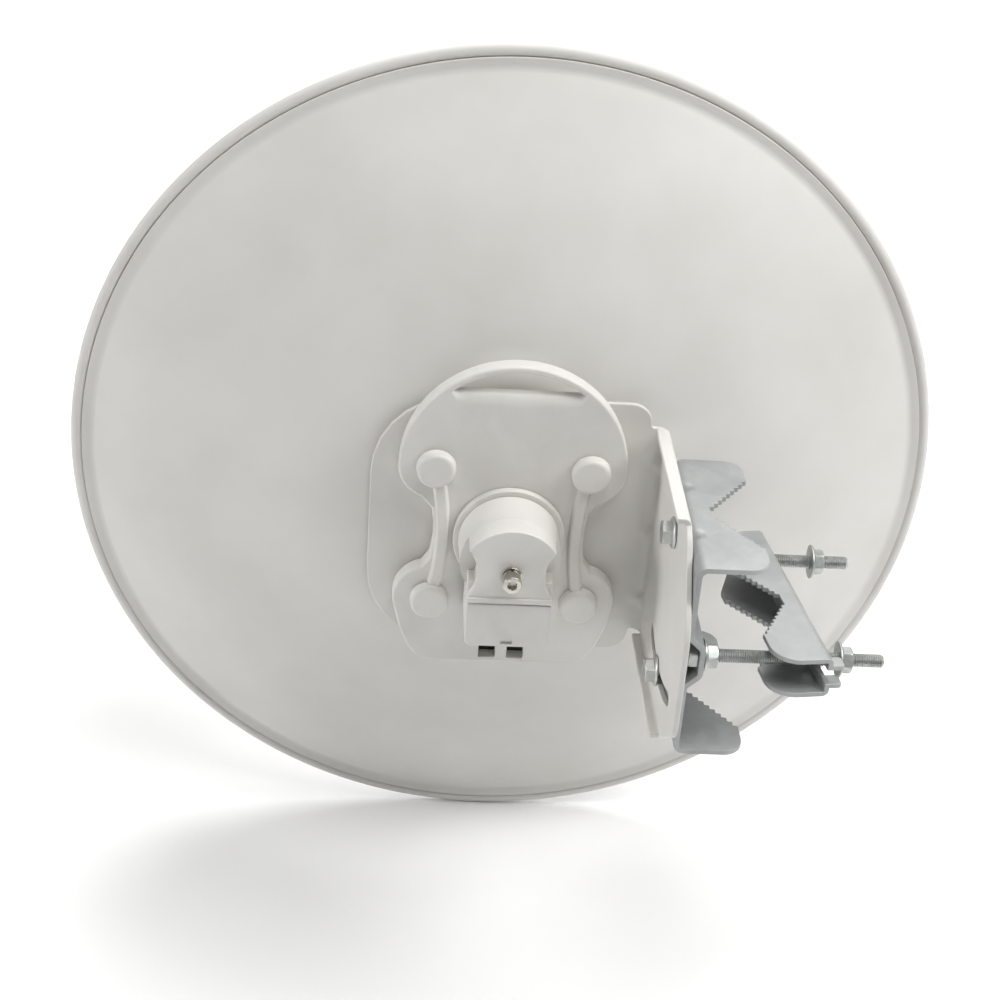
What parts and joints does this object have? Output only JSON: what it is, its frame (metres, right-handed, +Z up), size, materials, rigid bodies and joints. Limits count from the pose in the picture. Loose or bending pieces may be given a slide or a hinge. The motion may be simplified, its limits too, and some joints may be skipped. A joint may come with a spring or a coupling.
{
  "type": "wireless bridge dish antenna",
  "caption": "Round dish antenna with a radio unit, carrying handle and cable door on its back, held at the side by a bolted mast clamp with a toothed jaw.",
  "frame": {"origin": "on the raised rib of the clamp channel, in the middle of the flat face that looks at the mast", "axes": "+Z up, +Y the way the dish faces, +X from the clamp channel towards the mast and the jaw"},
  "size_m": [0.42, 0.3124, 0.42],
  "materials": {
    "white_coat": "satin powder coat",
    "white_plastic": "fine satin",
    "galvanised": "dull zinc",
    "bright_steel": "bright"
  },
  "bodies": {
    "clamp": {"clamp_channel": "galvanised", "pivot_bolt": "galvanised", "pivot_nut": "galvanised", "slot_bolt": "galvanised", "slot_nut": "galvanised", "clamp_bolt_near": "galvanised", "clamp_bolt_far": "galvanised", "inner_nut_near": "galvanised", "inner_nut_far": "galvanised", "outer_nut_near": "galvanised", "outer_nut_far": "galvanised"},
    "antenna": {"reflector": "white_coat", "mount_bracket": "white_coat", "rear_cover": "white_plastic", "screw_cap_upper_left": "white_plastic", "screw_cap_upper_right": "white_plastic", "screw_cap_lower_left": "white_plastic", "screw_cap_lower_right": "white_plastic", "hub_collar": "white_plastic", "radio_body": "white_plastic", "captive_screw": "bright_steel", "spring_washer": "bright_steel", "flat_washer": "bright_steel", "feed_tube": "white_plastic", "feed_cap": "white_plastic", "dish_screw_upper_left": "bright_steel", "dish_screw_upper_right": "bright_steel", "dish_screw_lower_left": "bright_steel", "dish_screw_lower_right": "bright_steel"},
    "jaw": {"clamp_jaw": "galvanised"},
    "door": {"cable_door": "white_plastic"}
  },
  "joints": [
    {"name": "elevation_tilt", "type": "hinge", "parent": "clamp", "child": "antenna", "pos_m": [-0.0085, 0, 0.036], "axis": [1, 0, 0], "range_deg": [-12, 20]},
    {"name": "jaw_travel", "type": "slide", "parent": "clamp", "child": "jaw", "axis": [1, 0, 0], "range_m": [-0.008, 0]},
    {"name": "door_travel", "type": "slide", "parent": "antenna", "child": "door", "axis": [0, 0, -1], "range_m": [0, 0.02]}
  ]
}
